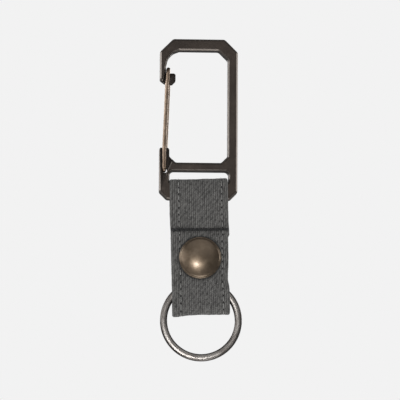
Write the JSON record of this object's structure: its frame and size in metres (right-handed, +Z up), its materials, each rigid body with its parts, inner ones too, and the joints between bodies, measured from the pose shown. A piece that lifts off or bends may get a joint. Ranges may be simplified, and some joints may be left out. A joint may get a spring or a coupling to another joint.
{
  "type": "key organiser",
  "caption": "Key organiser: a flat faceted carabiner with a sprung wire gate, a sewn canvas strap closed by a press snap, and a split key ring in its loop.",
  "frame": {"origin": "on the flat underside of the carabiner's top bar, mid-width and mid-thickness, where the organiser hangs", "axes": "+X right seen from the snap cap's side, +Y to the back (away from the snap cap), +Z up, along the organiser's length"},
  "size_m": [0.0308, 0.01, 0.1194],
  "materials": {
    "gunmetal_plate": "dark gunmetal-brown plating, satin, lighter on worn edges",
    "antique_bronze": "antique bronze plating, semi-gloss",
    "brushed_nickel": "brushed nickel-plated steel",
    "spring_steel": "plain spring steel",
    "grey_canvas": "dark grey plain-weave cotton canvas",
    "grey_thread": "grey sewing thread",
    "black_thread": "black sewing thread"
  },
  "bodies": {
    "carabiner": {"carabiner_frame": "gunmetal_plate", "strap_top_loop": "grey_canvas", "loop_stitching_left": "grey_thread", "loop_stitching_right": "grey_thread"},
    "gate": {"wire_gate": "antique_bronze"},
    "strap": {"strap_flex_band": "grey_canvas", "strap_front_leg": "grey_canvas", "leg_stitching_left": "grey_thread", "leg_stitching_right": "grey_thread", "cross_seam_stitching": "black_thread", "seam_back_stitching": "black_thread", "snap_cap": "antique_bronze", "snap_cap_post": "spring_steel", "snap_socket": "antique_bronze", "snap_socket_spring": "spring_steel"},
    "pocket": {"strap_bottom_fold": "grey_canvas", "fold_stitching_left": "grey_thread", "fold_stitching_right": "grey_thread"},
    "ring": {"split_ring": "brushed_nickel"},
    "tab": {"strap_snap_tab": "grey_canvas", "tab_stitching_left": "grey_thread", "tab_stitching_right": "grey_thread", "tab_end_stitching": "grey_thread", "snap_stud": "antique_bronze", "snap_eyelet": "antique_bronze"}
  },
  "joints": [
    {"name": "gate_open", "type": "hinge", "parent": "carabiner", "child": "gate", "pos_m": [-0.01262, 0, -0.0446], "axis": [0, 1, 0], "range_deg": [0, 22], "stiffness_Nm_per_rad": 0.2, "springref_deg": -6.88},
    {"name": "strap_swing", "type": "hinge", "parent": "carabiner", "child": "strap", "pos_m": [0.00041, -0.0003, -0.0572], "axis": [0.9998, 0, 0.0209], "range_deg": [-80, 80], "deforming": ["strap_flex_band"]},
    {"name": "ring_swing", "type": "hinge", "parent": "strap", "child": "pocket", "pos_m": [0.00101, 0, -0.08599], "axis": [0.9998, 0, 0.0209], "range_deg": [-25, 25], "deforming": ["strap_bottom_fold", "fold_stitching_left", "fold_stitching_right"]},
    {"name": "ring_spin", "type": "hinge", "parent": "pocket", "child": "ring", "pos_m": [0.00136, 0, -0.10014], "axis": [0, 1, 0], "continuous": true},
    {"name": "tab_open", "type": "hinge", "parent": "strap", "child": "tab", "pos_m": [0.00101, 0.0022, -0.08599], "axis": [-0.9998, 0, -0.0209], "range_deg": [0, 120]}
  ]
}
